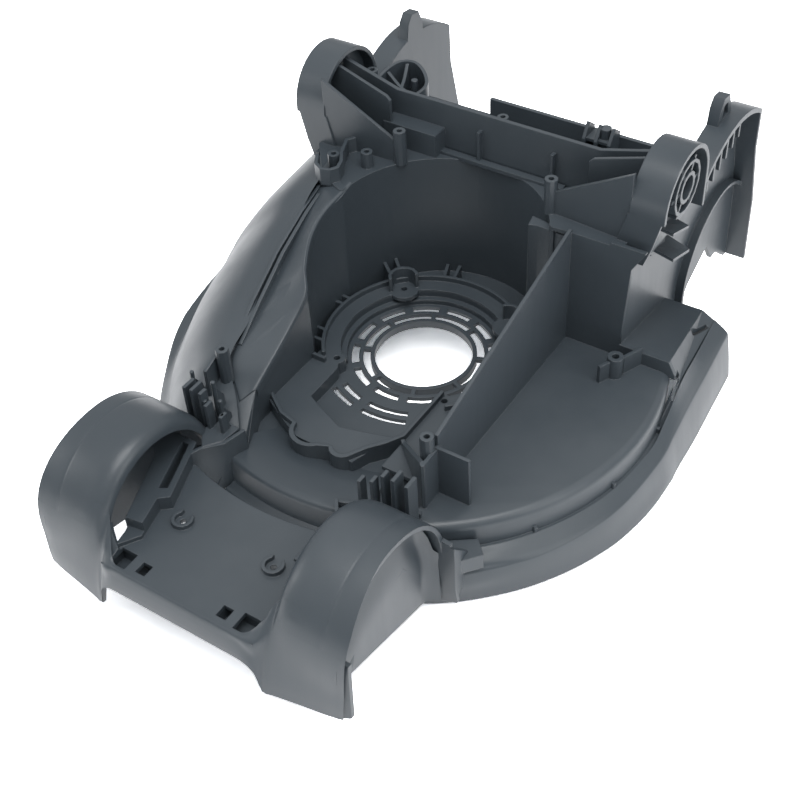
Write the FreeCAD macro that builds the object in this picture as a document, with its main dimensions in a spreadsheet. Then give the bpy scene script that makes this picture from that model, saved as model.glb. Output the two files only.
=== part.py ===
import FreeCAD, Part
import math
import os
import re
import Sketcher
from FreeCAD import Vector, Rotation, Placement

# Moulded deck of a small rotary lawn mower, one thin-walled piece.
# Frame: origin on the blade axis at the top face of the vented motor ring,
# +Z up, the front of the mower towards -Y, +X on the side of the flat floor.

doc = FreeCAD.newDocument("deck")
sheet = doc.addObject("Spreadsheet::Sheet", "Sizes")

SIZES = [
    ("wall", 3, "shell thickness"),
    ("rib", 2.4, "thickness of ribs and fins"),
    ("hole_r", 34, "radius of the motor opening"),
    ("hub_w", 3, "width of the plain ring round the opening"),
    ("slot_w", 5, "radial width of a row of vents"),
    ("band_w", 3, "plain band between the two rows"),
    ("seat_r", 60.5, "radius of the motor screw circle"),
    ("seat_z", 10, "height of the motor screw seats"),
    ("seat_hole", 2.2, "radius of a motor screw hole"),
    ("collar_in", 53, "inner radius of the stepped collar"),
    ("collar_out", 70, "outer radius of the stepped collar"),
    ("lip_z", 4, "height of the thin lips on collar and plateau"),
    ("well_r", 75, "radius of the motor well"),
    ("back_r", 73, "radius of the rear bulge of the well"),
    ("back_y", 22, "centre of the rear bulge behind the axis"),
    ("bay_x", 57, "left wall of the front bay from the axis"),
    ("bay_edge", 150, "radius of the front edge of the bay floor"),
    ("floor_z", 10, "height of the flat side floor"),
    ("floor_r", 168, "radius of the side floor"),
    ("floor_round", 6, "rounding of the side floor edge"),
    ("gutter_z", -10, "height of the gutter round the floor"),
    ("crease_w", 8, "width of the flange between floor edge and crease"),
    ("crease_z", -16, "height of the crease"),
    ("rim_r", 184, "radius of the skirt at its lower edge"),
    ("rim_z", -41.5, "height of the skirt lower edge"),
    ("wedge_x", 79, "tall side wall from the axis"),
    ("wedge_y", -110, "front end of the tall side wall"),
    ("wedge_z", 56, "height of the tall wall at its front end"),
    ("top_z", 98, "height of the rear platform"),
    ("panel_y", 54, "rear panel behind the flat floor"),
    ("cross_y", 97, "cross wall behind the well"),
    ("cross_z", 135, "height of the cross wall"),
    ("side_x", 118.7, "inner side panels of the rear wheel arches"),
    ("tower_x", 116, "inner edge of a handle tower"),
    ("tower_w", 24, "width of a handle tower"),
    ("pivot_y", 95, "handle pivot behind the axis"),
    ("pivot_z", 122, "height of the handle pivot"),
    ("pivot_r", 33, "radius of a handle tower"),
    ("tray_z", 15.7, "height of the front tray"),
    ("tray_y", -264, "front edge of the tray"),
    ("tray_x", 62, "half width of the front tray"),
    ("arch_x", 108, "outer face of the front wheel arches"),
    ("axle_y", -203, "front axle from the blade axis"),
    ("axle_z", 7, "height of the front axle"),
    ("arch_r", 55, "radius of a front wheel arch"),
    ("rear_z", 125, "height of the rear wheel arches"),
    ("rear_y", 236, "rear end of the deck"),
    ("rear_w", 17, "width of the rear wheel arches"),
]
for i, (alias, value, note) in enumerate(SIZES, start=1):
    sheet.set("A%d" % i, note)
    sheet.set("B%d" % i, str(value))
    sheet.setAlias("B%d" % i, alias)
doc.recompute()
NAMES = {alias for alias, value, note in SIZES}
WORD = re.compile(r"[a-z]+(?:_[a-z]+)?")


# an expression in size names, bound to the sheet
def bind(text):
    return WORD.sub(lambda m: ("Sizes." if m.group(0) in NAMES else "") + m.group(0), str(text))


# the number such an expression has now
def now(text):
    return float(sheet.evalExpression(WORD.sub(
        lambda m: "(%r)" % float(sheet.get(m.group(0))) if m.group(0) in NAMES
        else m.group(0), str(text))))


def put(obj, **props):
    for key, text in props.items():
        obj.setExpression(key, bind(text))
    return obj


def at(obj, x, y, z):
    for axis, text in zip("xyz", (x, y, z)):
        obj.setExpression("Placement.Base." + axis, bind(text))
    return obj


def box(name, x, y, z, dx, dy, dz):
    return at(put(doc.addObject("Part::Box", name), Length=dx, Width=dy, Height=dz), x, y, z)


def rod(name, x, y, z, r, h):
    return at(put(doc.addObject("Part::Cylinder", name), Radius=r, Height=h), x, y, z)


# small boss or bore with flat sides
def post(name, x, y, z, r, h, sides=10):
    obj = at(put(doc.addObject("Part::Prism", name), Circumradius=r, Height=h), x, y, z)
    obj.Polygon = sides
    return obj


PLANES = {"XY": (Rotation(), "z"), "XZ": (Rotation(Vector(1, 0, 0), 90), "y"),
          "YZ": (Rotation(Vector(1, 1, 1), 120), "x")}


# closed outline; a third value is the radius of an arc that ends in that corner
def outline(name, plane, pts, off="0", turn=0):
    sk = doc.addObject("Sketcher::SketchObject", name)
    base, axis = PLANES[plane]
    sk.Placement = Placement(Vector(), Rotation(Vector(0, 0, 1), turn).multiply(base))
    sk.setExpression("Placement.Base." + axis, bind(off))
    corner = [Vector(now(p[0]), now(p[1]), 0) for p in pts]
    geo, ends, rules, texts = [], [], [], []
    for i, a in enumerate(corner):
        j = (i + 1) % len(pts)
        b = corner[j]
        if len(pts[j]) < 3:
            geo.append(Part.LineSegment(a, b))
            ends.append((1, 2))
            continue
        r = now(pts[j][2])
        side = 1 if r > 0 else -1
        half = (b - a) * 0.5
        dist = math.sqrt(max(r * r - half.Length ** 2, 0))
        c = a + half + Vector(-half.y, half.x, 0).normalize() * dist * side
        s, e = (a, b) if side > 0 else (b, a)
        geo.append(Part.ArcOfCircle(Part.Circle(c, Vector(0, 0, 1), abs(r)),
                                    math.atan2(s.y - c.y, s.x - c.x),
                                    math.atan2(e.y - c.y, e.x - c.x)))
        ends.append((1, 2) if side > 0 else (2, 1))
    sk.addGeometry(geo, False)
    for i, p in enumerate(pts):
        k = (i - 1) % len(pts)
        rules.append(Sketcher.Constraint("Coincident", k, ends[k][1], i, ends[i][0]))
        texts.append(None)
        rules.append(Sketcher.Constraint("DistanceX", -1, 1, i, ends[i][0], corner[i].x))
        texts.append(p[0])
        rules.append(Sketcher.Constraint("DistanceY", -1, 1, i, ends[i][0], corner[i].y))
        texts.append(p[1])
        if len(p) > 2:
            rules.append(Sketcher.Constraint("Radius", k, abs(now(p[2]))))
            texts.append(str(p[2]).lstrip("-"))
    sk.addConstraint(rules)
    for i, text in enumerate(texts):
        if text is not None and re.search("[a-z]", str(text)):
            sk.setExpression("Constraints[%d]" % i, bind(text))
    return sk


# outline pushed along its plane's normal (XY up, YZ to +X, XZ towards -Y)
def prism(name, plane, pts, off, length, turn=0):
    ex = doc.addObject("Part::Extrusion", name)
    ex.Base = outline(name + "_outline", plane, pts, off, turn)
    ex.DirMode, ex.Solid = "Normal", True
    return put(ex, LengthFwd=length)


# outline in radius and height turned round the blade axis
def spin(name, pts, start=0, sweep=360):
    rv = doc.addObject("Part::Revolution", name)
    rv.Source = outline(name + "_outline", "XZ", pts, "0", start)
    rv.Axis, rv.Base, rv.Angle, rv.Solid = Vector(0, 0, 1), Vector(), sweep, True
    return rv


def fuse(name, *parts):
    obj = doc.addObject("Part::MultiFuse", name)
    obj.Shapes, obj.Refine = list(parts), True
    return obj


def cut(name, base, tool):
    obj = doc.addObject("Part::Cut", name)
    obj.Base, obj.Tool = base, tool
    return obj


def meet(name, *parts):
    obj = doc.addObject("Part::MultiCommon", name)
    obj.Shapes = list(parts)
    return obj


def mirror(name, source):
    obj = doc.addObject("Part::Mirroring", name)
    obj.Source, obj.Normal, obj.Base = source, Vector(1, 0, 0), Vector()
    return obj


# open line of corners moved sideways by a named thickness, as expressions
def beside(pts, thick, share=1.0):
    flat = [Vector(now(a), now(b), 0) for a, b in pts]
    moved = []
    for i, p in enumerate(flat):
        ways = [(flat[k + 1] - flat[k]).normalize() for k in (i - 1, i) if 0 <= k < len(flat) - 1]
        sides = [Vector(w.y, -w.x, 0) for w in ways]
        if len(sides) == 1:
            m = sides[0]
        else:
            m = (sides[0] + sides[1]) * (1 / (1 + max(sides[0].dot(sides[1]), -0.4)))
        moved.append(tuple("(%s) + %s * %.4f" % (t, thick, share * v) for t, v in zip(pts[i], (m.x, m.y))))
    return moved


# ring of corners round a section of thin wall: outer line and the same line one wall further in
def section(plane, pts, off="0", turn=0, thick="wall"):
    base, axis = PLANES[plane]
    turned = Rotation(Vector(0, 0, 1), turn).multiply(base)
    shift = Vector(*[now(off) if a == axis else 0 for a in "xyz"])
    return [turned.multVec(Vector(now(a), now(b), 0)) + shift for a, b in pts + beside(pts, thick)[::-1]]


# thin curved wall between such sections, flat between each pair of corners
def plated(name, rings):
    plates = [rings[0][::-1], rings[-1]]
    for a, b in zip(rings, rings[1:]):
        for i in range(len(a)):
            j = (i + 1) % len(a)
            normal = (a[j] - a[i]).cross(b[i] - a[i]).normalize()
            if abs(normal.dot(b[j] - a[i])) < 1e-6:
                plates.append([a[i], a[j], b[j], b[i]])
            elif i < len(a) // 2:
                plates += [[a[i], a[j], b[i]], [a[j], b[j], b[i]]]
            else:
                plates += [[a[i], a[j], b[j]], [a[i], b[j], b[i]]]
    signed = sum(p[0].dot(p[k].cross(p[k + 1])) for p in plates for k in range(1, len(p) - 1))
    if signed < 0:
        plates = [p[::-1] for p in plates]
    obj = doc.addObject("Part::Feature", name)
    obj.Shape = Part.Solid(Part.Shell([Part.Face(Part.makePolygon(p + p[:1])) for p in plates]))
    return obj


# upright rib or wall along a line of corners
def strip(name, pts, low, high, thick="rib"):
    both = beside(pts, thick, -0.5) + beside(pts, thick, 0.5)[::-1]
    return prism(name, "XY", both, low, "(%s) - (%s)" % (high, low))


# upright bar that points away from the blade axis at an angle
def spoke(name, deg, r_in, r_out, width, low, high):
    c, s = math.cos(math.radians(deg)), math.sin(math.radians(deg))
    obj = box(name, "(%s) * %.7f + (%s) / 2 * %.7f" % (r_in, c, width, s),
              "(%s) * %.7f - (%s) / 2 * %.7f" % (r_in, s, width, c), low,
              "(%s) - (%s)" % (r_out, r_in), width, "(%s) - (%s)" % (high, low))
    obj.Placement.Rotation = Rotation(Vector(0, 0, 1), deg)
    return obj


solids, holes = [], []

# Skirt and flange: gutter, sloping flange, crease and flared skirt.
solids.append(spin("skirt", [
    ("floor_r - wall", "gutter_z - wall"), ("floor_r + crease_w - wall", "crease_z - wall"),
    ("rim_r - wall", "rim_z"), ("rim_r", "rim_z"), ("floor_r + crease_w", "crease_z"),
    ("floor_r + 2", "gutter_z"), ("floor_r - wall", "gutter_z")], -106, 114))
solids.append(spin("bay_slope", [
    ("bay_edge - 4", "-wall"), ("floor_r - 5", "gutter_z - wall"), ("floor_r - 1", "gutter_z - wall"),
    ("floor_r - 1", "gutter_z"), ("bay_edge", "0"), ("bay_edge - 4", "0")], -106, 46))
solids += [spoke("clip_%d" % k, deg, "floor_r - 2", "floor_r + 2", "rib", "gutter_z - 1", "gutter_z + 4")
           for k, deg in enumerate([-34, -13, 7])]

# Flank that runs straight back behind the axis, then the raised rear shoulder.
solids.append(plated("flank_back", [
    section("XZ", [("floor_r - 1", "gutter_z"), ("floor_r + crease_w", "crease_z"),
                                  ("rim_r", "rim_z")], "0", 8),
    section("XZ", [("floor_r - 3", "5"), ("floor_r + crease_w - 3", "crease_z"),
                                ("rim_r - 2.5", "rim_z")], "panel_y + wall")]))
SHOULDER = [("108.4", "8"), ("150", "8.5"), ("159", "3.5"), ("169.5", "-3.5"), ("rim_r - 8", "rim_z")]
solids.append(plated("shoulder", [
    section("XZ", [("tower_x + 5", "20"), ("157", "20"), ("floor_r - 3", "5"),
                   ("floor_r + crease_w - 3", "crease_z"), ("rim_r - 2.5", "rim_z")], "panel_y + wall"),
    section("XZ", SHOULDER, "128")]))
solids.append(plated("shoulder_fold", [
    section("XZ", [("tower_x - 1", "24"), ("tower_x + 6", "20")], "panel_y + wall"),
    section("XZ", [("97", "12"), ("109.5", "8")], "128")]))
solids.append(prism("shoulder_peak", "XZ", [("98", "5"), ("115", "20.5"), ("121", "5")], "128", "rib"))
solids.append(prism("shoulder_back", "XZ", SHOULDER + [("side_x", "rim_z")], "128", "wall"))
solids.append(prism("shoulder_front", "XZ", [
    ("side_x - 2", "floor_z - wall"), ("floor_r - 5", "floor_z - wall"), ("floor_r - 4", "7"),
    ("157", "20"), ("side_x - 2", "20")], "panel_y + wall", "wall"))
holes.append(strip("shoulder_slot", [("153.5", "100"), ("158", "118")], "-20", "40", "wall"))
holes.append(strip("flange_slot", [("162", "60"), ("166", "44")], "-4", "40", "1.6"))
boss = cut("floor_boss", post("floor_boss_out", "126.8", "36.3", "floor_z - 1", "5.5", "17", 12),
           post("floor_boss_in", "126.8", "36.3", "floor_z", "2.5", "30"))
solids.append(boss)
solids.append(strip("floor_boss_rib", [("121", "24"), ("125", "32.5")], "floor_z - 1", "floor_z + 14"))
solids.append(strip("floor_boss_web", [("130.5", "40"), ("137", "panel_y + 1")], "floor_z - 1", "floor_z + 14"))

# Flat side floor with its rounded edge, right of the tall wall.
solids.append(meet("side_floor", spin("floor_disc", [
    ("60", "floor_z - wall"), ("floor_r - floor_round", "floor_z - wall"),
    ("floor_r - wall", "floor_z - floor_round"), ("floor_r - wall", "gutter_z - wall"),
    ("floor_r", "gutter_z - wall"), ("floor_r", "floor_z - floor_round"),
    ("floor_r - 0.3 * floor_round", "floor_z - 0.3 * floor_round"),
    ("floor_r - floor_round", "floor_z"), ("60", "floor_z")], -75, 120),
    box("floor_area", "wedge_x", "-170", "-60", "100", "170 + panel_y + wall", "80")))

# Well and bay floor with the vented ring.
floor = fuse("well_floor",
             rod("well_disc", "0", "0", "-wall", "well_r + wall / 2", "wall"),
             rod("back_disc", "0", "back_y", "-wall", "back_r + wall / 2", "wall"),
             meet("bay_disc", rod("bay_round", "0", "0", "-wall", "bay_edge", "wall"),
                  box("bay_area", "-bay_x - wall / 2", "-170", "-wall",
                      "bay_x + wall + wedge_x", "180", "wall")))
tube = {}
for name, r0, r1 in [
        ("inner_vents", "hole_r + hub_w", "hole_r + hub_w + slot_w"),
        ("outer_vents", "hole_r + hub_w + slot_w + band_w", "hole_r + hub_w + 2 * slot_w + band_w")]:
    tube[name] = cut(name, rod(name + "_out", "0", "0", "-wall - 1", r1, "wall + 2"),
                     rod(name + "_in", "0", "0", "-wall - 2", r0, "wall + 4"))
spokes_in = [spoke("spoke_in_%d" % k, 22 + 45 * k, "hole_r + hub_w / 2",
                   "hole_r + 1.5 * hub_w + slot_w", "hub_w", "-wall", "0") for k in range(8)]
spokes_out = [spoke("spoke_out_%d" % k, 15 + 30 * k, "hole_r + hub_w + slot_w + 1",
                    "collar_in", "2 * hub_w", "-wall", "0") for k in range(12)]
arcs = []
for k, r0 in enumerate(["collar_in + 6", "collar_in + 14"]):
    ring = cut("arc_ring_%d" % k, rod("arc_out_%d" % k, "0", "0", "-wall - 1", r0 + " + 4", "wall + 2"),
               rod("arc_in_%d" % k, "0", "0", "-wall - 2", r0, "wall + 4"))
    arcs.append(meet("arc_slots_%d" % k, ring, fuse(
        "arc_spans_%d" % k,
        prism("arc_left_%d" % k, "XY", [("0", "0"), ("-60", "-107"), ("-22", "-107")], "-wall - 3", "wall + 6"),
        prism("arc_right_%d" % k, "XY", [("0", "0"), ("-9", "-107"), ("44", "-107")],
              "-wall - 3", "wall + 6"))))
floor = cut("vented_floor", floor, fuse(
    "floor_holes", rod("motor_hole", "0", "0", "-wall - 1", "hole_r", "wall + 2"),
    tube["inner_vents"], tube["outer_vents"], *arcs))
solids += [floor] + spokes_in + spokes_out

# Hub tube of the motor opening and the stepped collar with four screw seats.
solids.append(spin("hub", [("hole_r", "-2 * wall"), ("hole_r + hub_w", "-2 * wall"),
                           ("hole_r + hub_w", "0"), ("hole_r", "0")]))
solids.append(spin("collar", [
    ("collar_in", "-wall"), ("collar_in + 7", "-wall"), ("collar_in + 7", "seat_z - wall"),
    ("collar_out - rib", "seat_z - wall"), ("collar_out - rib", "-wall"), ("collar_out", "-wall"),
    ("collar_out", "seat_z + lip_z"), ("collar_out - rib", "seat_z + lip_z"),
    ("collar_out - rib", "seat_z"), ("collar_in + 4", "seat_z"),
    ("collar_in + 4", "lip_z"), ("collar_in", "lip_z")], -46, 268))
for k, deg in enumerate([-44.5, 45.5, 135.5, 225.5]):
    c, s = math.cos(math.radians(deg)), math.sin(math.radians(deg))
    x, y = "seat_r * %.7f" % c, "seat_r * %.7f" % s
    if k in (1, 2):
        cup = cut("seat_wall_%d" % k, post("seat_out_%d" % k, x, y, "seat_z - wall", "11", "wall + 12", 14),
                  post("seat_in_%d" % k, x, y, "seat_z", "8.6", "20", 14))
        gate = spoke("seat_gate_%d" % k, deg, "seat_r - 16", "seat_r - 1", "24", "seat_z", "seat_z + 20")
        solids.append(cut("seat_cup_%d" % k, cup, gate))
        solids += [spoke("cup_rib_%d_%d" % (k, m), deg + 6 * m, "collar_out + 1",
                         "collar_out + 18", "rib", "-wall / 2", "seat_z + 8") for m in (0, 1)]
    solids.append(post("seat_%d" % k, x, y, "-wall / 2", "6", "seat_z + wall / 2"))
    holes.append(rod("seat_hole_%d" % k, x, y, "-wall - 4", "seat_hole", "seat_z + wall + 8"))
solids += [spoke("collar_rib_%d" % k, deg, "collar_out - 1", "well_r + 11", "rib", "-wall / 2", "seat_z + 2")
           for k, deg in enumerate([104, 110])]
# ribs between collar and well wall on the left, all along X
for k, y in enumerate([10.4, 3, -26.4, -36.4, -50.6]):
    inner, outer = (math.sqrt(r * r - y * y) for r in (now("collar_out") - 1.2, now("well_r") + 1))
    solids.append(box("well_rib_%d" % k, "-(well_r + 1) * %.5f" % (outer / (now("well_r") + 1)), "%g - rib / 2" % y,
                      "-wall / 2", "(well_r + 1) * %.5f - (collar_out - 1.2) * %.5f"
                      % (outer / (now("well_r") + 1), inner / (now("collar_out") - 1.2)),
                      "rib", "seat_z + 4 + wall / 2"))

# Plateau in the bay with its arm, between the vent field and the scalloped wall.
plateau = [("-53", "-24"), ("-bay_x", "-40"), ("-bay_x", "-100"), ("-41", "-109"), ("-22", "-118"),
           ("22", "-119"), ("26", "-107"), ("34", "-97"), ("39.5", "-86"), ("37", "-86"),
           ("13", "-93"), ("-3", "-97"), ("-10", "-94"), ("-27", "-87"), ("-35.5", "-82.7"),
           ("-36", "-52"), ("-43", "-37")]
solids.append(prism("plateau", "XY", plateau, "-wall / 2", "seat_z + wall / 2"))
scallop = [("-bay_x", "-98"), ("-50", "-103"), ("-41", "-109"), ("-29", "-112"),
           ("-3", "-121", "15"), ("4", "-118"), ("20", "-118", "9"), ("26", "-107"),
           ("34", "-97"), ("40.5", "-86"), ("40.5", "-38"),
           ("40.5 - rib", "-38"), ("40.5 - rib", "-85"), ("32", "-95"), ("24", "-105"),
           ("18", "-116"), ("6", "-116", "-7"), ("-4", "-118.5"), ("-26.5", "-110.5", "-13"),
           ("-40", "-107"), ("-49", "-101"), ("-bay_x", "-95.5")]
solids.append(prism("scalloped_wall", "XY", scallop, "-wall / 2", "seat_z + lip_z + wall / 2"))
solids.append(box("shelf", "40", "-112", "floor_z - wall", "wedge_x - 39", "70", "wall"))

# Round wall of the motor well, open to the bay and to the tall side wall.
well = cut("well_wall",
           fuse("well_outer", rod("well_out", "0", "0", "-wall", "well_r + wall", "top_z + wall"),
                rod("back_out", "0", "back_y", "-wall", "back_r + wall", "top_z + wall")),
           fuse("well_space", rod("well_in", "0", "0", "-wall - 1", "well_r", "top_z + 20"),
                rod("back_in", "0", "back_y", "-wall - 1", "back_r", "top_z + 20"),
                box("well_mouth", "-bay_x", "-120", "-20", "200", "120 - 20", "200"),
                box("well_side", "50", "-60", "-20", "100", "60 + panel_y", "200")))
# the rim falls towards the front
rim_cut = prism("rim_cut", "YZ", [("-130", "-10"), ("-60", "57"), ("-38", "75"), ("-22", "84"),
                                  ("28", "top_z"), ("28", "200"), ("-130", "200")], "-150", "220")
solids.append(cut("well_shell", well, rim_cut))

# Tall side wall that climbs to the rear, with the cross plate at its front end.
solids.append(prism("wedge_wall", "YZ", [
    ("wedge_y", "floor_z - wall"), ("panel_y + 1", "floor_z - wall"), ("panel_y + 1", "top_z + 2"),
    ("wedge_y", "wedge_z")], "wedge_x", "rib"))
solids.append(prism("wedge_foot", "YZ", [
    ("wedge_y", "-wall"), ("panel_y + 1", "-wall"), ("panel_y + 1", "floor_z"), ("wedge_y", "floor_z")],
    "wedge_x", "rib"))
solids.append(box("cross_plate", "wedge_x + 1", "wedge_y - rib", "floor_z - 1", "24", "rib", "wedge_z - floor_z - 7"))
solids.append(box("case_side", "wedge_x + 1", "wedge_y - 18", "floor_z - wall", "rib", "20", "wedge_z - floor_z - 6"))
solids.append(meet("case_front", strip("case_line", [("41", "-89"), ("wedge_x + 3", "wedge_y - 18")], "-wall", "wedge_z"),
                   prism("case_slope", "XZ", [("36", "-wall"), ("88", "-wall"), ("88", "wedge_z - 9"),
                                              ("wedge_x", "wedge_z - 9"), ("43", "14"), ("36", "14")], "-80", "60")))

# Panel behind the flat floor, rear platform and the cross wall with its rib.
solids.append(prism("rear_panel", "XZ", [
    ("wedge_x", "floor_z - wall"), ("121", "floor_z - wall"), ("121", "20"), ("124.5", "84"),
    ("133", "99"), ("133", "top_z + 2"), ("109", "top_z + 2"), ("109", "top_z"), ("wedge_x", "top_z")],
    "panel_y + wall", "wall"))
deck = cut("platform", prism("platform_plate", "XY", [
    ("-tower_x - 6", "cross_y + wall"), ("-tower_x - 6", "60"), ("-96", "28"), ("-76", "20"), ("0", "50"),
    ("wedge_x", "panel_y"), ("tower_x", "panel_y"), ("tower_x + 4", "cross_y + wall")], "top_z - wall", "wall"),
    fuse("platform_hole", rod("platform_round", "0", "0", "top_z - 20", "well_r + 1", "40"),
         rod("platform_back", "0", "back_y", "top_z - 20", "back_r + 1", "40")))
solids.append(deck)
solids.append(prism("corner_web", "XY", [
    ("50", "54"), ("56", "56"), ("wedge_x + 1", "panel_y"), ("wedge_x + 1", "panel_y + wall"),
    ("56", "63"), ("48", "64")], "-wall", "top_z - 2"))
solids.append(prism("cross_wall", "XZ", [
    ("-side_x - 4", "top_z - wall"), ("side_x + 4", "top_z - wall"), ("side_x + 4", "cross_z + 12"),
    ("78", "cross_z - 1"), ("-78", "cross_z - 1"), ("-side_x - 4", "cross_z + 12")],
    "cross_y + wall", "wall"))
solids += [box("cross_rib_%d" % k, x, "cross_y - 4", "top_z - 1", "rib", "5", "cross_z - top_z - 12")
           for k, x in enumerate(["-12", "44"])]

# Step on the platform, curved rib and screw bosses.
solids.append(box("step_front", "-82", "cross_y - 13", "top_z - 1", "42", "rib", "18"))
solids.append(box("step_side", "-42", "cross_y - 13", "top_z - 1", "rib", "14", "18"))
solids.append(box("step_top", "-82", "cross_y - 13", "top_z + 15", "42", "14", "rib"))
solids.append(strip("curved_rib", [
    ("-88", "84"), ("-87", "70"), ("-93", "66"), ("-97", "60"), ("-91", "45"), ("-85", "36"), ("-83", "29"),
    ("-86", "24"), ("-92", "22"), ("-99", "26"), ("-104", "35")], "top_z - 2", "top_z + 11"))
for tag, x, y, r, low, high in [
        ("back_right", "58.2", "68.5", "4.5", "top_z - 1", "top_z + 25"),
        ("back_left", "-58.2", "68.5", "4.5", "top_z - 1", "top_z + 25"),
        ("case_right", "wedge_x - 2", "wedge_y - 5", "4.5", "0", "wedge_z + 2"),
        ("case_left", "-77", "wedge_y - 5", "4.5", "30", "wedge_z + 2")]:
    solids.append(post("boss_" + tag, x, y, low, r, "(%s) - (%s)" % (high, low)))
    holes.append(post("boss_bore_" + tag, x, y, high + " - 14", "2", "20", 8))
for tag, x, y in [("edge", "-75.5", "53"), ("rib", "-94", "40"), ("bar", "-16", "136")]:
    solids.append(post("post_" + tag, x, y, "top_z - 1", "4.2", "13"))
    holes.append(post("post_bore_" + tag, x, y, "top_z + 4", "2", "10", 8))

# Shelf and bar behind the cross wall, with the latch bracket.
solids.append(box("rear_shelf", "-side_x - 1", "cross_y", "top_z - wall", "2 * side_x + 2", "55", "wall"))
solids.append(box("rear_bar", "-34", "cross_y + 52", "top_z - wall", "side_x + 34", "wall", "17"))
for k, x in enumerate(["46", "55", "65"]):
    solids.append(prism("latch_side_%d" % k, "YZ", [
        ("cross_y + 38", "top_z - 1"), ("cross_y + 53", "top_z - 1"), ("cross_y + 53", "top_z + 18"),
        ("cross_y + 45", "top_z + 24 - 8 * %d * (2 - %d) * 0 " % (k, k)), ("cross_y + 38", "top_z + 14")], x, "rib"))
solids.append(box("latch_top", "46", "cross_y + 40", "top_z + 12", "21", "13", "rib"))
solids.append(post("latch_post", "60", "cross_y + 46", "top_z - 1", "4", "23"))

# Spiral tunnel on the left: roof that climbs from the bay round the well to the rear.
# Each row: turn in degrees, place along Y, inner edge, its height, groove, its height, flank end, its height.
STATIONS = [
    (253, "0", "bay_edge - 3", "12", "bay_edge + 3", "6", "floor_r + crease_w - 4", "crease_z + 3"),
    (243, "0", "bay_x / 0.454", "28", "138", "24", "floor_r + crease_w - 2", "crease_z + 2"),
    (231, "0", "bay_x / 0.629", "50", "131", "35", "floor_r + crease_w - 1", "crease_z + 1"),
    (222, "0", "bay_x / 0.743", "64", "114", "47", "floor_r + crease_w - 0.5", "crease_z + 1"),
    (210, "0", "well_r + 1", "75", "104", "58", "floor_r + crease_w", "crease_z"),
    (195, "0", "well_r + 1", "85", "95.5", "71", "floor_r + crease_w + 2", "crease_z + 1"),
    (180, "0", "well_r + 1", "92", "93", "84", "rim_r - 3", "0"),
    (180, "30", "back_r + 1", "top_z", "94", "96", "rim_r - 2", "12"),
    (180, "cross_y + 20", "back_r - 6", "top_z", "104", "top_z", "rim_r - 8", "24"),
]
FLANK = [(0.28, 0.87), (0.57, 0.62), (0.82, 0.3)]


def flank(r1, z1, r2, z2):
    pts = [(r1, z1)]
    for t, s in FLANK:
        pts.append(("(%s) + ((%s) - (%s)) * %g" % (r1, r2, r1, t), "(%s) + ((%s) - (%s)) * %g" % (z2, z1, z2, s)))
    return pts + [(r2, z2), ("rim_r", "rim_z")]


solids.append(plated("tunnel", [
    section("XZ", [(r0, "-wall"), (r0, z0)] + flank(r1, z1, r2, z2), y, turn)
    for turn, y, r0, z0, r1, z1, r2, z2 in STATIONS]))
turn, y, r0, z0, r1, z1, r2, z2 = STATIONS[-1]
solids.append(prism("tunnel_end", "XZ", [("side_x", "rim_z"), ("side_x", z1 + " - 9")] + flank(r1, z1, r2, z2)[2:],
                    y, "wall", 180))
# low ribs along the ridge
for k, (a, b) in enumerate([(("-95", "22"), ("-88", "-98")), (("-91", "16"), ("-83", "-92"))]):
    rib = strip("ridge_line_%d" % k, [a, b], "30", "top_z")
    solids.append(meet("ridge_rib_%d" % k, rib, prism("ridge_slope_%d" % k, "YZ", [
        ("-98", "36 + 2 * %d" % k), ("-66", "58"), ("-34", "76"), ("-2", "88"), ("24", "top_z - 3"),
        ("24", "top_z - 9"), ("-2", "82"), ("-34", "70"), ("-66", "52"), ("-98", "30")], "-100", "30")))

# Handle towers: bent band, inner plate and bearing rosette, joined to the platform by webs.
leg = prism("tower_leg", "XZ", [
    ("tower_x + 12.6", "84"), ("tower_x + 17", "top_z - 1"), ("tower_x + tower_w - 1.5", "pivot_z - 2"),
    ("tower_x + 2 - wall", "pivot_z - 2"), ("tower_x - 7", "top_z - 1"), ("tower_x - 2", "84")],
    "pivot_y - pivot_r + wall", "wall")
tower = prism("tower_band", "YZ", [
    ("pivot_y - pivot_r", "pivot_z - 4"), ("pivot_y - pivot_r", "pivot_z"), ("pivot_y", "pivot_z + pivot_r", "-pivot_r"),
    ("pivot_y + pivot_r", "pivot_z", "-pivot_r"), ("pivot_y + pivot_r", "top_z - wall"),
    ("pivot_y + pivot_r - wall", "top_z - wall"), ("pivot_y + pivot_r - wall", "pivot_z"),
    ("pivot_y", "pivot_z + pivot_r - wall", "(pivot_r - wall)"),
    ("pivot_y - pivot_r + wall", "pivot_z", "(pivot_r - wall)"),
    ("pivot_y - pivot_r + wall", "pivot_z - 4")], "tower_x", "tower_w")
plate = prism("tower_plate", "YZ", [
    ("pivot_y - pivot_r + 1", "84"), ("pivot_y - pivot_r + 1", "pivot_z"),
    ("pivot_y", "pivot_z + pivot_r - 1", "-(pivot_r - 1)"),
    ("pivot_y + pivot_r - 1", "pivot_z", "-(pivot_r - 1)"), ("pivot_y + pivot_r - 1", "84")],
    "tower_x + tower_w / 2 - 3", "wall")
rosette = []
for k, (r, w) in enumerate([("11", "wall"), ("19", "rib")]):
    ring = cut("rosette_%d" % k, post("rosette_out_%d" % k, "0", "0", "0", r, "12", 14),
               post("rosette_in_%d" % k, "0", "0", "-1", r + " - " + w, "20", 14))
    ring.Placement.Rotation = Rotation(Vector(0, 1, 0), 90)
    at(ring, "tower_x + tower_w / 2 - 1", "pivot_y + 2", "pivot_z + 4")
    rosette.append(ring)
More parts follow.
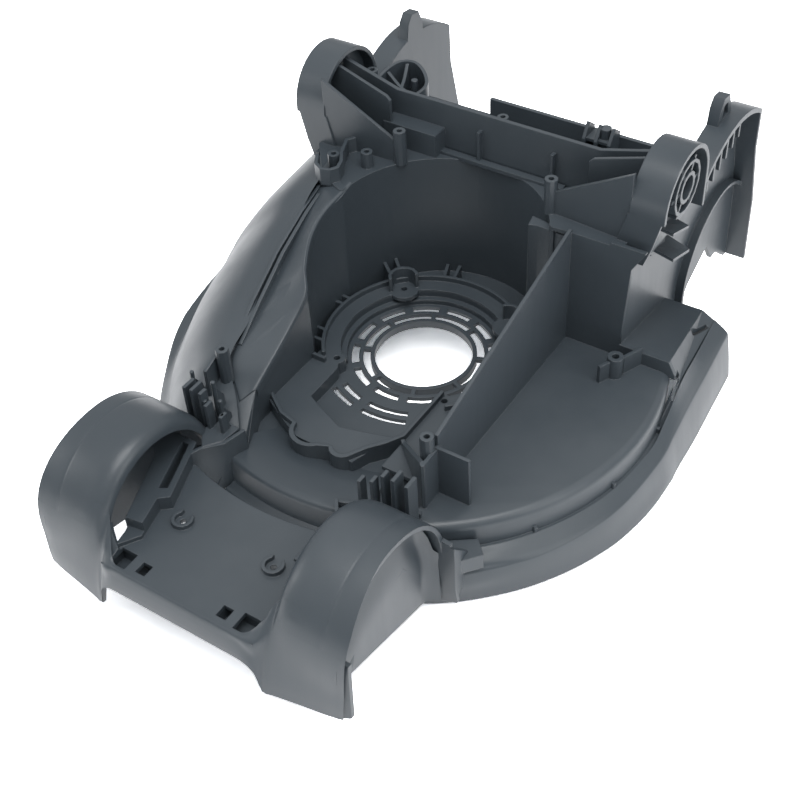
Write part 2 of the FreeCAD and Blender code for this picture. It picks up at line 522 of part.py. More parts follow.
for k in range(6):
    rib = put(doc.addObject("Part::Box", "rosette_rib_%d" % k), Length="11", Width="rib", Height="12")
    rib.Placement.Rotation = Rotation(Vector(1, 0, 0), 30 + 60 * k)
    c, s = math.cos(math.radians(30 + 60 * k)), math.sin(math.radians(30 + 60 * k))
    at(rib, "tower_x + tower_w / 2 - 1", "pivot_y + 2 - %.5f * 9 - rib / 2 * %.5f" % (s, c),
       "pivot_z + 4 + %.5f * 9 - rib / 2 * %.5f" % (c, s))
    rosette.append(rib)
lug = strip("tower_web", [("58.2", "68.5"), ("tower_x + 1", "pivot_y - pivot_r + 2")], "top_z - 1", "cross_z + 14")
lug = meet("tower_web_cut", lug, prism("web_slope", "XZ", [
    ("50", "top_z - 2"), ("tower_x + 2", "top_z - 2"), ("tower_x + 2", "cross_z + 14"), ("62", "top_z + 17"),
    ("50", "top_z + 17")], "120", "90"))
pocket = prism("tower_pocket", "XZ", [
    ("76", "top_z - 1"), ("tower_x + 14", "top_z - 1"), ("tower_x + 14", "cross_z + 17"), ("79", "cross_z"),
    ("76", "cross_z - 3")], "cross_y - 10", "rib")
side = []
side.append(prism("side_panel", "YZ", [
    ("panel_y + 1", "5"), ("128", "5"), ("128", "rim_z"), ("158", "-24"), ("170", "-9"), ("188", "0"),
    ("200", "6"), ("213", "-13"), ("223", "-14"), ("243", "-31"), ("250", "-31"), ("246", "25"),
    ("rear_y - 3", "78"), ("rear_y - 4", "110"), ("128", "100", "79"), ("128", "pivot_z"),
    ("cross_y", "pivot_z"), ("cross_y", "top_z"), ("panel_y + 1", "top_z - 4")], "side_x", "wall"))
band = [("126", "98"), ("rear_y - 4", "110", "-79"), ("rear_y - 3", "78"), ("246", "25"), ("250", "-31"),
        ("250 - wall", "-31"), ("246 - wall", "25"), ("rear_y - 3 - wall", "78"),
        ("rear_y - 4 - wall", "108"), ("128", "96", "79")]
side.append(prism("rear_band", "YZ", band, "side_x + 1", "rear_w"))
guard = [prism("wheel_guard", "YZ", [
    ("146", "-30"), ("146", "0"), ("244", "38", "-57"), ("244", "34"), ("149", "0", "54"), ("149", "-30")],
    "side_x + 1", "8")]
loop = cut("loop_bracket", prism("loop_plate", "YZ", [
    ("172", "120"), ("175", "136"), ("180", "142"), ("189", "141"), ("194", "130"), ("194", "120")], "side_x", "8"),
    prism("loop_slot", "YZ", [("179", "127"), ("181", "136"), ("187", "136"), ("189", "127")], "side_x + 3", "10"))
side.append(loop)
guard += [box("arch_rib_%d" % k, "side_x + 1", "%d" % (150 + 10 * k), "%d" % (88 + 3 * k), "rear_w - 4", "rib",
             "%d" % (28 - 2 * k)) for k in range(6)]
both = fuse("rear_side", tower, leg, plate, lug, pocket, *side)
solids += [both, mirror("rear_side_left", both), *rosette, *guard]
for side_x, tag in ((1, "right"), (-1, "left")):
    pin = rod("pivot_bore_" + tag, "0", "0", "0", "8", "40")
    pin.Placement.Rotation = Rotation(Vector(0, 1, 0), 90 * side_x)
    holes.append(at(pin, "%d * (tower_x + 2)" % side_x, "pivot_y + 2", "pivot_z + 4"))

# Front tray between the wheel arches, its rear edge round the skirt.
tray = cut("tray", prism("tray_plate", "XY", [
    ("-60", "-150"), ("-62", "-176"), ("-74", "-188"), ("-56", "-240"), ("-55", "tray_y + 8"),
    ("-46", "tray_y", "12"), ("46", "tray_y"), ("tray_x + 3", "tray_y + 12", "18"), ("tray_x + 3", "-150")],
    "tray_z - wall", "wall"), rod("tray_arc", "0", "0", "-10", "rim_r", "60"))
solids.append(tray)
solids.append(strip("tray_rib", [("42.5", "-205"), ("43", "-164"), ("35.5", "-154")], "gutter_z - wall", "tray_z + 2"))
solids.append(strip("tray_link", [("35.5", "-154"), ("50", "-148"), ("66", "-152")], "gutter_z - wall", "tray_z"))
solids.append(strip("corner_wall", [
    ("-43", "-142"), ("-47", "-158"), ("-57", "-169"), ("-61", "-180")], "gutter_z - wall", "26"))
solids.append(prism("corner_ledge", "XY", [
    ("-46", "-143"), ("-48", "-157"), ("-56", "-168"), ("-66", "-156"), ("-60", "-142")], "24", "rib"))
block = cut("tray_block", prism("tray_block_outer", "XY", [
    ("-85", "-166"), ("-62", "-166"), ("-46", "-210"), ("-52", "-215"), ("-46", "-238"), ("-55", "-252"),
    ("-57", "-240"), ("-77", "-188"), ("-85", "-180")], "tray_z - wall", "26 - tray_z + wall"),
    fuse("block_hollow", prism("block_slot", "XY", [
        ("-70", "-170"), ("-65", "-170"), ("-52", "-205"), ("-57", "-208")], "tray_z", "30"),
        prism("block_low", "XY", [
            ("-58", "-236"), ("-44", "-234"), ("-44", "-256"), ("-58", "-256")], "tray_z + 3", "30"),
        prism("block_under", "XY", [
            ("-81", "-170"), ("-73", "-170"), ("-62", "-203"), ("-72", "-188")], "0", "23")))
solids.append(block)
for side_x, tag in ((-1, "left"), (1, "right")):
    x = "%d * 34" % side_x
    ring = cut("tray_boss_" + tag, post("tray_boss_out_" + tag, x, "-215", "tray_z - wall", "7", "wall + 3", 14),
               post("tray_boss_in_" + tag, x, "-215", "tray_z", "4.8", "8", 14))
    solids.append(cut("tray_cup_" + tag, ring, box(
        "tray_gap_" + tag, x + " - 3.5", "-215", "tray_z", "7", "9", "8")))
    holes.append(post("tray_hole_" + tag, x, "-215", "tray_z - 10", "2", "20", 8))
    solids.append(cut("pocket_" + tag, box("pocket_out_" + tag, x + " - %d" % (10 if side_x > 0 else 22), "-264",
                                           "2", "32", "18", "tray_z - 3"),
                      box("pocket_in_" + tag, x + " - %d" % (8 if side_x > 0 else 20), "-262", "2 + rib", "28", "14", "30")))
    for a, b, c, d in ((46, -261, 12, 12), (30, -259, 7, 8)):
        holes.append(box("tray_slot_%s_%d" % (tag, a), "%d * %d - %g / 2" % (side_x, a, c), str(b),
                         "tray_z - 4", str(c), str(d), "20"))

# Front face and the flaps in front of the wheels: height and depth of four corners per row.
FASCIA = [
    ("0", ("-255", "tray_z"), ("tray_y", "tray_z - 1"), ("-268.3", "0")),
    ("44", ("-255", "tray_z"), ("tray_y + 1", "tray_z - 1"), ("-268.3", "0")),
    ("52", ("-252", "tray_z + 2"), ("-262", "tray_z - 1"), ("-268.2", "-1")),
    ("58", ("-249", "26"), ("-259", "tray_z"), ("-268", "-8")),
    ("60.5", ("-247", "31"), ("-257.5", "tray_z + 1"), ("-268", "-22")),
    ("72", ("-253.2", "24"), ("-256.3", "15"), ("-266", "-22")),
    ("101", ("-253.2", "24"), ("-256.2", "14"), ("-261", "-22")),
    ("arch_x", ("-253", "23.5"), ("-255.8", "13.5"), ("-258.5", "-23")),
    ("113", ("-252.5", "22"), ("-253.5", "14"), ("-255", "-24")),
]
front = [plated("fascia", [section("YZ", list(pts[::-1]), x) for x, *pts in FASCIA])]

# Front wheel arches: barrel round the axle with a turned-in lip, well wall and rear fender.
hoop = [("tray_x", "arch_r - 8"), ("tray_x + 5", "arch_r - 1"), ("tray_x + 12", "arch_r"),
        ("arch_x", "arch_r"), ("arch_x", "arch_r - wall"), ("tray_x + 7", "arch_r - wall"),
        ("tray_x + 3", "arch_r - 9")]
arch = doc.addObject("Part::Revolution", "arch_barrel")
arch.Source = outline("arch_barrel_outline", "XY", [(a, "axle_y + (%s)" % p[0], *p[1:])
                                                     for a, *p in hoop], "axle_z")
arch.Axis, arch.Angle, arch.Solid = Vector(1, 0, 0), 180, True
arch.setExpression("Base.y", bind("axle_y"))
arch.setExpression("Base.z", bind("axle_z"))
front.append(arch)
front.append(prism("well_wall_front", "YZ", [
    ("axle_y - arch_r + 1", "axle_z + 8"), ("axle_y + arch_r - 1", "axle_z + 8", "-(arch_r + 1)"),
    ("axle_y + arch_r - 1", "-38"), ("axle_y + 46", "-33"), ("axle_y - 33", "-14"),
    ("axle_y - arch_r + 1", "-8")], "92", "wall"))
FIELD = [("axle_y - 36", "-14"), ("axle_y - 38", "4"), ("axle_y - 24", "30"), ("axle_y + 26", "36"),
         ("axle_y + 50", "-2"), ("axle_y + 50", "-36")]
TOP = [("axle_y - 32", "-15"), ("axle_y - 32", "-6"), ("axle_y - 18", "8"), ("axle_y + 24", "18"),
       ("axle_y + 48", "-18"), ("axle_y + 48", "-36")]
fields = []
for k, (x0, x1, shift) in enumerate([("92", "100", "0"), ("89", "97", "wall")]):
    rows = [[("(%s) - %s * (%g)" % (a, shift, 0.6 if now(a) > now("axle_y") else -0.6), "(%s) - %s" % (b, shift))
             for a, b in ring] for ring in (FIELD, TOP)]
    fields.append(plated("well_field_%d" % k, [
        [Vector(now(x), now(a), now(b)) for a, b in ring] for x, ring in zip((x0, x1), rows)]))
front.append(cut("well_field", *fields))
front.append(prism("fender", "XZ", [
    ("95", "20"), ("114", "18"), ("116", "-12"), ("118", "-33"), ("97", "-42"), ("94", "-20")],
    "axle_y + arch_r", "wall"))
front.append(prism("fender_side", "YZ", [
    ("axle_y + arch_r - wall", "17"), ("axle_y + arch_r + 12", "0"), ("axle_y + arch_r + 12", "-20"),
    ("axle_y + arch_r - wall", "-33")], "114", "wall"))
front.append(box("well_back", "62", "axle_y + arch_r - wall", "-20", "36", "wall", "40"))
fins = [("51", "-152", "40"), ("61", "-153", "46"), ("67", "-150", "51"), ("74", "-150", "51"), ("82", "-148", "48")]
front += [box("fin_%d" % k, x, y, "gutter_z", "rib", "6 + 4 * %d" % (k // 3), h + " - gutter_z")
          for k, (x, y, h) in enumerate(fins)]
front.append(strip("fin_link", [("51", "-147"), ("68", "-141"), ("84", "-135")], "gutter_z", "14"))
joined = fuse("front_side", *front)
solids += [joined, mirror("front_side_left", joined)]
solids.append(prism("gutter_plate", "XY", [
    ("93", "-141"), ("117", "-124"), ("126", "-133"), ("113", "-149")], "gutter_z - wall", "12"))
solids.append(prism("case_left", "YZ", [
    ("-128", "10"), ("-112", "22"), ("-112", "52"), ("-128", "46")], "-84", "rib"))

# One solid: everything joined, then the bores cut.
body = cut("deck_body", fuse("deck_joined", *solids), fuse("deck_holes", *holes))
body.Label = "deck"
doc.recompute()

for obj in doc.Objects:
    bad = {"Invalid", "Error"} & set(obj.State)
    if bad:
        raise SystemExit("%s: %s" % (obj.Name, ", ".join(obj.State)))
if body.Shape.isNull() or not body.Shape.isValid() or len(body.Shape.Solids) != 1:
    raise SystemExit("deck: %d solids, valid %s" % (len(body.Shape.Solids), body.Shape.isValid()))

os.makedirs("parts", exist_ok=True)
body.Shape.exportStep("parts/deck.step")
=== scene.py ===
import math

import bpy
from mathutils import Matrix, Vector
from mathutils.bvhtree import BVHTree


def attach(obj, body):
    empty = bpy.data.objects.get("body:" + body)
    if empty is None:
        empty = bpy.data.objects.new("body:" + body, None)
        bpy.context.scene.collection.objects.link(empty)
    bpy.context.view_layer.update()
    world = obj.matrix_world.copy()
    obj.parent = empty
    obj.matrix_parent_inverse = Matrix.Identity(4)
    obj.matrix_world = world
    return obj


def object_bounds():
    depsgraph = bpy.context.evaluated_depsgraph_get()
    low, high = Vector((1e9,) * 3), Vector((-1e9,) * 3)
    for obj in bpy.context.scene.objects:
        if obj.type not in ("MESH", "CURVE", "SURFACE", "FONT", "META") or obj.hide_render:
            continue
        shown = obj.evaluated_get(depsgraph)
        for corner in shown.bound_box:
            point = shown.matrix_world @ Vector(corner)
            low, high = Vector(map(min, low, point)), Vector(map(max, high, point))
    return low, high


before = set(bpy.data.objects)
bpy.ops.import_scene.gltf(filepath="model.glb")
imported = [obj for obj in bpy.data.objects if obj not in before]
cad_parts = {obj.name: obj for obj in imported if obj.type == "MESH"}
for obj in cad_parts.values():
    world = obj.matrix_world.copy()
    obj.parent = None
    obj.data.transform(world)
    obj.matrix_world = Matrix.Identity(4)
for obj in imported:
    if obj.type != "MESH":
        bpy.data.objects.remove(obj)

PER_M = 1000
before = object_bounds()
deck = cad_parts["deck"]


# Small helpers for node trees
def node(tree, kind, inputs=None, **props):
    """New node in a tree: an input given as a socket is linked, any other is set as a value."""
    n = tree.nodes.new(kind)
    for key, value in props.items():
        setattr(n, key, value)
    for key, value in (inputs or {}).items():
        if isinstance(value, bpy.types.NodeSocket):
            tree.links.new(value, n.inputs[key])
        else:
            n.inputs[key].default_value = value
    return n


def ramp(tree, fac, low, high, a, b):
    """Value that runs from a to b while fac runs from low to high."""
    span = {"Value": fac, "From Min": low, "From Max": high, "To Min": a, "To Max": b}
    return node(tree, "ShaderNodeMapRange", span).outputs["Result"]


def maths(tree, operation, a, b):
    return node(tree, "ShaderNodeMath", {0: a, 1: b}, operation=operation).outputs[0]


def blend(tree, fac, a, b):
    """Colour between a and b."""
    return node(tree, "ShaderNodeMix", {"Factor": fac, 6: a, 7: b}, data_type="RGBA").outputs[2]


# Moulded dark plastic: satin, with fine grain, flow marks and a little dust
BASE, ROUGH = (0.044, 0.055, 0.065), 0.36
DUST, DUST_COLOUR = 0.05, (0.30, 0.31, 0.31, 1)
DARKER, LIGHTER = 0.85, 1.18
SOFT_EDGE = 0.0009


def plastic(name):
    mat = bpy.data.materials.new(name)
    mat.use_nodes = True
    t = mat.node_tree
    t.nodes.clear()
    pos = node(t, "ShaderNodeNewGeometry").outputs["Position"]
    cloud = {"Vector": pos, "Scale": 9.0, "Detail": 4.0, "Roughness": 0.55}
    broad = node(t, "ShaderNodeTexNoise", cloud).outputs["Fac"]
    flow = {"Vector": pos, "Scale": (40.0, 40.0, 6.0), "Rotation": (0.3, 0.2, 0.4)}
    flow = node(t, "ShaderNodeMapping", flow).outputs["Vector"]
    streak = node(t, "ShaderNodeTexNoise", {"Vector": flow, "Scale": 3.0, "Detail": 5.0}).outputs["Fac"]
    speck = node(t, "ShaderNodeTexNoise", {"Vector": pos, "Scale": 900.0, "Detail": 2.0}).outputs["Fac"]
    grain = node(t, "ShaderNodeTexVoronoi", {"Vector": pos, "Scale": 1500.0}).outputs["Distance"]
    # Dust lies on what faces up
    normal = node(t, "ShaderNodeNewGeometry").outputs["Normal"]
    up = node(t, "ShaderNodeSeparateXYZ", {"Vector": normal}).outputs["Z"]
    film = maths(t, "MULTIPLY", ramp(t, up, 0.55, 1.0, 0.0, 1.0), ramp(t, broad, 0.40, 0.70, 0.0, 1.0))
    film = maths(t, "ADD", film, ramp(t, speck, 0.66, 0.74, 0.0, 0.5))
    film = maths(t, "MULTIPLY", film, DUST)
    tone = blend(t, broad, (*[c * DARKER for c in BASE], 1), (*[c * LIGHTER for c in BASE], 1))
    colour = blend(t, film, tone, DUST_COLOUR)
    rough = maths(t, "ADD", ramp(t, streak, 0.3, 0.7, ROUGH - 0.02, ROUGH + 0.03), film)
    edge = node(t, "ShaderNodeBevel", {"Radius": SOFT_EDGE}, samples=6).outputs["Normal"]
    fine = {"Strength": 0.05, "Distance": 0.0004, "Height": grain, "Normal": edge}
    fine = node(t, "ShaderNodeBump", fine).outputs["Normal"]
    wavy = {"Strength": 0.04, "Distance": 0.0008, "Height": streak, "Normal": fine}
    wavy = node(t, "ShaderNodeBump", wavy).outputs["Normal"]
    surface = {"Base Color": colour, "Roughness": rough, "Normal": wavy, "IOR": 1.5,
               "Specular IOR Level": 0.5}
    shader = node(t, "ShaderNodeBsdfPrincipled", surface)
    node(t, "ShaderNodeOutputMaterial", {"Surface": shader.outputs[0]})
    return mat


deck_plastic = plastic("deck_plastic")
for i in range(len(deck.data.materials)):
    deck.data.materials[i] = deck_plastic

# Curved walls shade smooth, corners stay sharp: the largest bend in degrees that is shaded smooth
DECK_BEND, DETAIL_BEND = 31, 40


def smooth(obj, angle):
    g = bpy.data.node_groups.new("smooth_walls", "GeometryNodeTree")
    g.interface.new_socket("Geometry", in_out="INPUT", socket_type="NodeSocketGeometry")
    g.interface.new_socket("Geometry", in_out="OUTPUT", socket_type="NodeSocketGeometry")
    geo = node(g, "NodeGroupInput").outputs[0]
    geo = node(g, "GeometryNodeMergeByDistance", {"Geometry": geo, "Distance": 1e-5}).outputs[0]
    all_smooth = {"Geometry": geo, "Shade Smooth": True}
    geo = node(g, "GeometryNodeSetShadeSmooth", all_smooth, domain="FACE").outputs[0]
    bend = node(g, "GeometryNodeInputMeshEdgeAngle").outputs["Unsigned Angle"]
    low = node(g, "FunctionNodeCompare", {0: bend, 1: math.radians(angle)},
               data_type="FLOAT", operation="LESS_THAN").outputs[0]
    soft_edges = {"Geometry": geo, "Shade Smooth": low}
    geo = node(g, "GeometryNodeSetShadeSmooth", soft_edges, domain="EDGE").outputs[0]
    node(g, "NodeGroupOutput", {0: geo})
    obj.modifiers.new("smooth_walls", "NODES").node_group = g
    even = obj.modifiers.new("even_normals", "WEIGHTED_NORMAL")
    even.keep_sharp, even.weight = True, 80


smooth(deck, DECK_BEND)


# Smooth skins over the flat-plated curves, each a little above the solid
def curve(points, n):
    """Points on a smooth curve through the given ones, n steps between each pair."""
    out, last = [], len(points) - 1
    for i in range(last):
        a, b = points[i], points[i + 1]
        p = points[i - 1] if i > 0 else a * 2 - b
        q = points[i + 2] if i < last - 1 else b * 2 - a
        for k in range(n):
            t = k / n
            out.append(0.5 * (2 * a + (b - p) * t + (2 * p - 5 * a + 4 * b - q) * t * t
                              + (3 * a - p - 3 * b + q) * t ** 3))
    return out + [points[-1]]


def patch(rows, n_along, n_across):
    """Smooth grid through rows of control points."""
    columns = [curve(list(c), n_along) for c in zip(*rows)]
    return [curve(list(r), n_across) for r in zip(*columns)]


solid = BVHTree.FromObject(deck, bpy.context.evaluated_depsgraph_get())
lowest, highest = (Vector(v) for v in before)
INSIDE = 1e-5


def around(i, j, n, m, spread):
    """Cells of an n by m grid that lie near one cell."""
    return [(a, b) for a in range(max(i - spread[0], 0), min(i + spread[0] + 1, n))
            for b in range(max(j - spread[1], 0), min(j + spread[1] + 1, m))]


def cover(grid, outward, lift, reach, spread):
    """Grid in mm moved out along its normals until it clears the solid, with no bumps of its own."""
    n, m = len(grid), len(grid[0])
    pts = metres(grid)
    cells = [(i, j) for i in range(n) for j in range(m)]
    normal = {}
    for i, j in cells:
        du = pts[min(i + 1, n - 1)][j] - pts[max(i - 1, 0)][j]
        dv = pts[i][min(j + 1, m - 1)] - pts[i][max(j - 1, 0)]
        w = du.cross(dv).normalized()
        normal[i, j] = w if w.dot(outward) > 0 else -w
    up = {}
    for i, j in cells:
        start = pts[i][j] + normal[i, j] * reach / PER_M
        hit = solid.ray_cast(start, -normal[i, j], 2 * reach / PER_M)
        up[i, j] = reach - hit[3] * PER_M if hit[0] is not None else -reach
    up = {(i, j): max(0.0, max(up[c] for c in around(i, j, n, m, spread)) + lift) for i, j in cells}
    for _ in range(2):
        up = {(i, j): sum(up[c] for c in around(i, j, n, m, spread)) / len(around(i, j, n, m, spread))
              for i, j in cells}
    return [[pts[i][j] + normal[i, j] * up[i, j] / PER_M for j in range(m)] for i in range(n)]


def metres(grid):
    return [[p / PER_M for p in row] for row in grid]


def piece(name, verts, faces, smooth_faces=True):
    """Added piece of the deck, kept inside the solid's box."""
    inside = [[min(max(v[k], lowest[k] + INSIDE), highest[k] - INSIDE) for k in range(3)] for v in verts]
    mesh = bpy.data.meshes.new(name)
    mesh.from_pydata(inside, [], faces)
    for face in mesh.polygons:
        face.use_smooth = smooth_faces
    mesh.materials.append(deck_plastic)
    obj = bpy.data.objects.new(name, mesh)
    bpy.context.scene.collection.objects.link(obj)
    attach(obj, "root")
    return obj


def sheet(name, grid):
    """Open sheet through a grid in metres."""
    n, m = len(grid), len(grid[0])
    faces = [(i * m + j, i * m + j + 1, (i + 1) * m + j + 1, (i + 1) * m + j)
             for i in range(n - 1) for j in range(m - 1)]
    return piece(name, [tuple(p) for row in grid for p in row], faces)


def skin(name, grid, outward, lift, reach, spread):
    """Sheet through a grid in mm, lifted clear of the solid."""
    return sheet(name, cover(grid, Vector(outward), lift, reach, spread))


def both_sides(name, grid, outward, **how):
    skin(name + "_right", grid, outward, **how)
    flipped = [[Vector((-p.x, p.y, p.z)) for p in row] for row in grid]
    skin(name + "_left", flipped, (-outward[0], outward[1], outward[2]), **how)


def turned(deg, y, r, z):
    """Point at a turn and radius about the blade axis, moved along Y."""
    a = math.radians(deg)
    return Vector((math.cos(a) * r, math.sin(a) * r + y, z))


# Left flank: turn, place along Y, well edge, ridge and crease, each as radius and height
FLANK_ROWS = [
    (253, 0, 147, 12, 153, 6, 172, -13), (243, 0, 125.5, 28, 138, 24, 174, -14),
    (231, 0, 90.6, 50, 131, 35, 175, -15), (222, 0, 76.7, 64, 114, 47, 175.5, -15),
    (210, 0, 76, 75, 104, 58, 177.5, -15), (195, 0, 76, 85, 95.5, 71, 179, -11),
    (180, 0, 76, 92, 93, 84, 181, 0), (180, 30, 74, 98, 94, 96, 182, 12),
    (180, 117, 67, 98, 104, 98, 176, 24),
]
# Share of the way from ridge to crease, share of the height there, and how much more a full row has
BULGE = [(0.0, 1.0, 0), (0.28, 0.87, 0.03), (0.57, 0.62, 0.06), (0.82, 0.3, 0.06), (1.0, 0.0, 0)]
FULLNESS = [0, 0.3, 0.6, 1, 1, 0.6, 0, 0, 0]


def flank_row(full, deg, y, r0, z0, r1, z1, r2, z2):
    return [turned(deg, y, r1 + (r2 - r1) * t, z2 + (z1 - z2) * (h + full * more)) for t, h, more in BULGE]


skin("left_flank", patch([flank_row(full, *row) for full, row in zip(FULLNESS, FLANK_ROWS)], 12, 8),
     (-1, -0.3, 0.8), lift=0.2, reach=4.0, spread=(14, 4))

# Flared band below the crease, which rises and fades out to the rear: turn, crease, outer edge
BAND_ROWS = [
    (170, 183.2, 8, 184.2, 7), (180, 181, 2, 184.5, -2), (187, 179.4, -5, 187, -7),
    (193, 178.4, -10, 188.3, -13), (199, 177.6, -13.5, 189.2, -20), (206, 176.8, -15.5, 189.6, -30),
    (213, 176.2, -15.8, 190, -37), (222, 175.8, -15, 190, -41), (232, 175.2, -14.5, 189.5, -41.4),
    (243, 174.3, -13.5, 188, -41.4), (253, 172.3, -12.5, 186, -41.4),
]


def band_row(deg, r1, z1, r2, z2):
    """From under the flank over the crease and the outer edge to the folded-in lower edge."""
    points = [(r1 - 7, z1 + 3), (r1, z1), (r1 + (r2 - r1) * 0.45, z1 + (z2 - z1) * 0.55),
              (r2, z2), (r2 - 0.6, z2 - 1.0), (r1 + 3, z2 - 0.5)]
    return [turned(deg, 0, r, z) for r, z in points]


sheet("left_band", metres(patch([band_row(*row) for row in BAND_ROWS], 6, 4)))

# Ledge of the tunnel between the well's edge and the ridge
LEDGE_LIFT = 1.0


def ledge_row(deg, y, r0, z0, r1, z1, r2, z2):
    """From inside the well over its edge and the ledge to the ridge."""
    points = [(r0 - 1.3, z0 - 6), (r0 - 1.3, z0 - 0.6), (r0 - 0.4, z0 + LEDGE_LIFT * 0.8),
              (r0 + 1.5, z0 + LEDGE_LIFT), ((r0 + r1) / 2, (z0 + z1) / 2 + LEDGE_LIFT),
              (r1 - 1.0, z1 + LEDGE_LIFT), (r1 - 0.4, z1 - 0.5)]
    return [turned(deg, y, r, z) for r, z in points]


sheet("tunnel_ledge", metres(patch([ledge_row(*row) for row in FLANK_ROWS[1:8]], 12, 5)))

# Rounded front edge of the side floor
EDGE_R, EDGE_Z, EDGE_ROUND = 162, 4, 6
EDGE_FROM, EDGE_TURN, EDGE_STEPS = -61.5, 81, 90
ROUND_FROM, ROUND_TURN, ROUND_STEPS = 88, 86, 10


def edge_row(deg):
    slopes = [math.radians(ROUND_FROM - ROUND_TURN * j / ROUND_STEPS) for j in range(ROUND_STEPS + 1)]
    return [turned(deg, 0, EDGE_R + EDGE_ROUND * math.cos(a), EDGE_Z + EDGE_ROUND * math.sin(a))
            for a in slopes]


skin("floor_edge", [edge_row(EDGE_FROM + EDGE_TURN * i / EDGE_STEPS) for i in range(EDGE_STEPS + 1)],
     (0.5, -0.5, 0.7), lift=0.05, reach=0.8, spread=(1, 1))

# Wheel arches: a rounded barrel with a shallow parting groove, run out into the flap in front of the wheel
AXLE_Y, AXLE_Z = -203, 7
HOOP = [(62.0, 46.8), (62.6, 49.6), (64.2, 52.2), (67.0, 54.0), (71.0, 55.0), (76.0, 55.3), (85.0, 55.3),
        (95.0, 55.3), (96.0, 55.2), (96.5, 54.6), (97.0, 55.2), (98.0, 55.3), (103.0, 55.3), (108.0, 55.2)]
HOOP_FROM, HOOP_TURN, HOOP_STEPS = -2, 160, 60
FLARE, FLARE_X, FLARE_WIDTH, FLARE_FROM, FLARE_TURN = 4.6, 96, 12, 85, 68


def flare(x, deg):
    """How far the arch runs out sideways towards the flap."""
    t = max(0.0, min((deg - FLARE_FROM) / FLARE_TURN, 1.0))
    return FLARE * max(0.0, (x - FLARE_X) / FLARE_WIDTH) ** 1.5 * t * t * (3 - 2 * t)


def hoop_row(deg):
    a = math.radians(deg)
    return [Vector((x + flare(x, deg), AXLE_Y + r * math.cos(a), AXLE_Z + r * math.sin(a))) for x, r in HOOP]


both_sides("arch_skin", [hoop_row(HOOP_FROM + HOOP_TURN * i / HOOP_STEPS) for i in range(HOOP_STEPS + 1)],
           (0, 0, 1), lift=0.08, reach=1.2, spread=(0, 0))

# Smooth liner of the wheel space, which turns outwards into the fender behind the wheel
LINER_X, LINER_R = 94.5, 52.4
LINER_FROM, LINER_LENGTH, LINER_STEPS, LINER_RISE = -255.2, 106.6, 50, 24
BEND_FROM, BEND_LENGTH, BEND_OUT = -163, 14.5, 9.5
LINER_LOW = [(-257, -8), (-236, -14), (-157, -33), (-148, -37)]


def liner_low(y):
    """Height of the liner's lower edge."""
    for (y0, z0), (y1, z1) in zip(LINER_LOW, LINER_LOW[1:]):
        if y <= y1:
            return z0 + (z1 - z0) * (y - y0) / (y1 - y0)
    return LINER_LOW[-1][1]


def liner_row(y):
    low = liner_low(y)
    high = AXLE_Z + math.sqrt(max(0.0, LINER_R ** 2 - (y - AXLE_Y) ** 2))
    x = LINER_X + BEND_OUT * max(0.0, (y - BEND_FROM) / BEND_LENGTH) ** 2
    return [Vector((x, y, low + (high - low) * j / LINER_RISE)) for j in range(LINER_RISE + 1)]


liner_rows = [liner_row(LINER_FROM + LINER_LENGTH * i / LINER_STEPS) for i in range(LINER_STEPS + 1)]
both_sides("arch_liner", liner_rows, (1, 0, 0), lift=0.15, reach=9.5, spread=(3, 2))

# Front face from the tray's lip to the wheel flaps: X, then Y and Z from the top edge to the lower edge
FRONT_ROWS = [
    (0, (-262.2, 15.8), (-263.8, 15.4), (-265.2, 13.8), (-266.2, 11), (-267, 8), (-267.8, 4), (-268.2, 0)),
    (24, (-262.2, 15.8), (-263.8, 15.4), (-265.2, 13.8), (-266.2, 11), (-267, 8), (-267.8, 4), (-268.2, 0)),
    (42, (-262.0, 15.9), (-263.6, 15.4), (-265.0, 13.8), (-266.0, 11), (-266.9, 8), (-267.8, 4),
     (-268.2, 0)),
    (50, (-259.5, 17.2), (-261.6, 16.3), (-263.6, 14), (-265.2, 10.8), (-266.5, 7), (-267.6, 3),
     (-268.2, -1)),
    (56, (-252.4, 23.4), (-256.4, 20), (-260.2, 15), (-263.0, 9), (-265.2, 3), (-267.1, -2), (-268.1, -5)),
    (59.5, (-247, 31.5), (-251.8, 26), (-256.6, 18.4), (-260.6, 9), (-263.8, -1), (-266.4, -11),
     (-268, -17)),
    (62.5, (-243.4, 36), (-248.2, 30.5), (-253.2, 23.5), (-258.2, 13.5), (-262.6, 1), (-266.0, -11.5),
     (-268, -22)),
    (66, (-243.8, 41.2), (-249.1, 33.6), (-253.8, 25.5), (-257.9, 14.5), (-261.9, 1), (-265.1, -11.5),
     (-267.2, -22)),
    (74, (-245.2, 42.4), (-250.7, 34.6), (-254.6, 25.5), (-257.6, 15), (-260.9, 1), (-263.8, -11.5),
     (-265.7, -22)),
    (86, (-245.3, 42.5), (-250.8, 34.7), (-254.6, 25.5), (-257.3, 15), (-259.9, 1), (-262.2, -11.5),
     (-263.7, -22)),
    (101, (-245.3, 42.5), (-250.8, 34.7), (-254.6, 25.5), (-256.9, 15), (-258.8, 1), (-260.4, -11.5),
     (-261.2, -22)),
    (108, (-245.2, 42.4), (-250.8, 34.6), (-254.5, 25.5), (-256.4, 15), (-257.6, 1), (-258.8, -11.5),
     (-259.2, -22)),
]
# Where on the hoop each column of the front face takes its flare from, and the share it takes
FLARE_DOWN = [(140, 1.0), (150, 1.0), (158, 1.0), (158, 0.98), (158, 0.85), (158, 0.7), (158, 0.55)]


def front_row(x, *pts):
    return [Vector((x + share * flare(x, deg), *p)) for p, (deg, share) in zip(pts, FLARE_DOWN)]


both_sides("front_face", patch([front_row(*row) for row in FRONT_ROWS], 7, 6),
           (0, -1, 0.4), lift=0.1, reach=2.5, spread=(2, 2))

